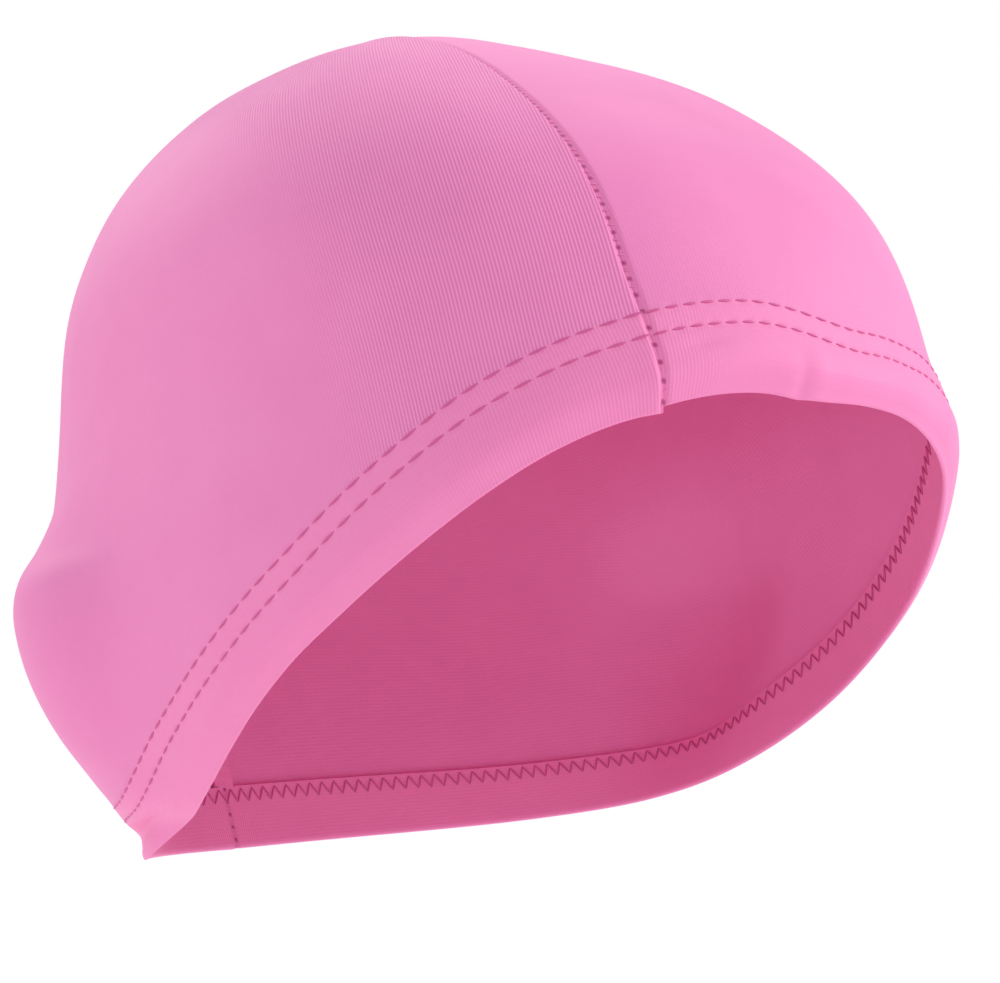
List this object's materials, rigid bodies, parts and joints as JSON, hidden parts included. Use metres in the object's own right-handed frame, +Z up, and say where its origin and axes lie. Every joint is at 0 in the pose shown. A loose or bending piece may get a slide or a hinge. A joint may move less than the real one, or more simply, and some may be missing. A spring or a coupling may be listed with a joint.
{
  "type": "swim cap",
  "caption": "Stretch-fabric swim cap in its worn form: a close dome of two knit panels over the ears, with a turned double hem.",
  "frame": {"origin": "inside of the crown's top, where the cap sits on a head", "axes": "+Z up, the forehead faces -Y, the wearer's right side is at -X"},
  "size_m": [0.1773, 0.2016, 0.1678],
  "materials": {
    "panel_knit": "satin stretch knit, pink",
    "hem_knit": "double layer of the same stretch knit",
    "seam_allowance": "inside of the same stretch knit, overlocked",
    "thread": "textured polyester sewing thread, dyed to match"
  },
  "bodies": {
    "root": {"crown_panel_right": "panel_knit", "crown_panel_left": "panel_knit", "hem_right": "hem_knit", "hem_left": "hem_knit", "crown_seam": "seam_allowance"}
  },
  "joints": []
}
